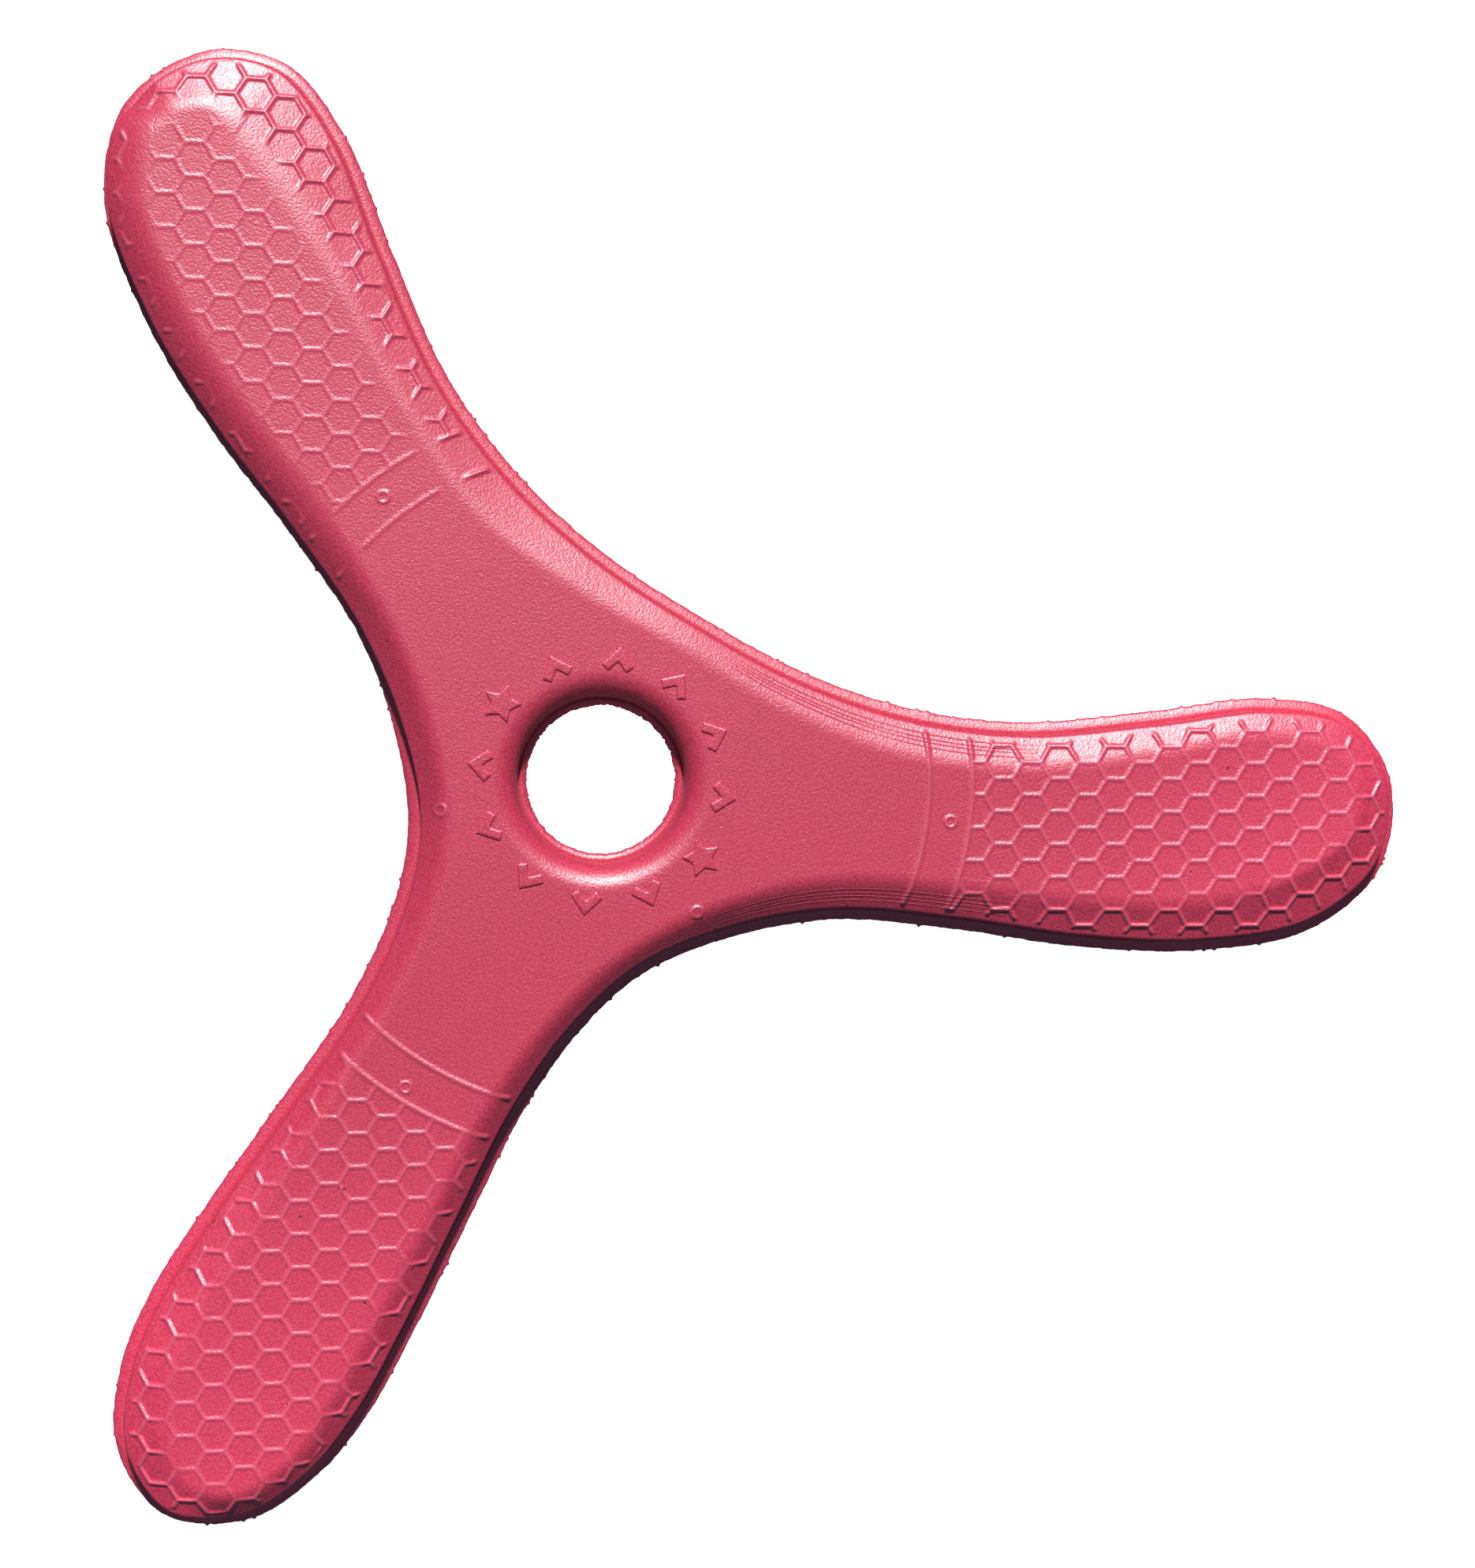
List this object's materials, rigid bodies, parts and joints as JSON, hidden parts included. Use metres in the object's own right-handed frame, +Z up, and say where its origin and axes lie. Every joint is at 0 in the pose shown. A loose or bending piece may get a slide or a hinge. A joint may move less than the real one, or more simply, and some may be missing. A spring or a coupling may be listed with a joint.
{
  "type": "boomerang",
  "caption": "Soft foam boomerang: one straight and two swept blades round a finger hole, bevelled edges, raised honeycomb and ring marks, and blades that flex at the neck.",
  "frame": {"origin": "centre of the finger hole, on the flat resting face", "axes": "+Z up out of the bevelled side, -Y along the straight tail blade, +X towards the right swept blade; the outline is symmetric about the plane x = 0"},
  "size_m": [0.2652, 0.2339, 0.0124],
  "materials": {
    "foam_upper": "matte moulded closed-cell foam, fine pebbled grain, coral pink",
    "foam_lower": "matte moulded closed-cell foam, plain skin, coral pink"
  },
  "bodies": {
    "hub": {"hub_upper_foam": "foam_upper", "hub_lower_foam": "foam_lower"},
    "tail_blade": {"tail_blade_upper_foam": "foam_upper", "tail_blade_lower_foam": "foam_lower"},
    "right_blade": {"right_blade_upper_foam": "foam_upper", "right_blade_lower_foam": "foam_lower"},
    "left_blade": {"left_blade_upper_foam": "foam_upper", "left_blade_lower_foam": "foam_lower"}
  },
  "joints": [
    {"name": "tail_blade_flex", "type": "hinge", "parent": "hub", "child": "tail_blade", "pos_m": [0, -0.0624, 0.006], "axis": [-1, 0, 0], "range_deg": [-20, 20], "stiffness_Nm_per_rad": 0.5},
    {"name": "right_blade_flex", "type": "hinge", "parent": "hub", "child": "right_blade", "pos_m": [0.05584, 0.02784, 0.006], "axis": [0.4462, -0.8949, 0], "range_deg": [-20, 20], "stiffness_Nm_per_rad": 0.5},
    {"name": "left_blade_flex", "type": "hinge", "parent": "hub", "child": "left_blade", "pos_m": [-0.05584, 0.02784, 0.006], "axis": [0.4462, 0.8949, 0], "range_deg": [-20, 20], "stiffness_Nm_per_rad": 0.5}
  ]
}
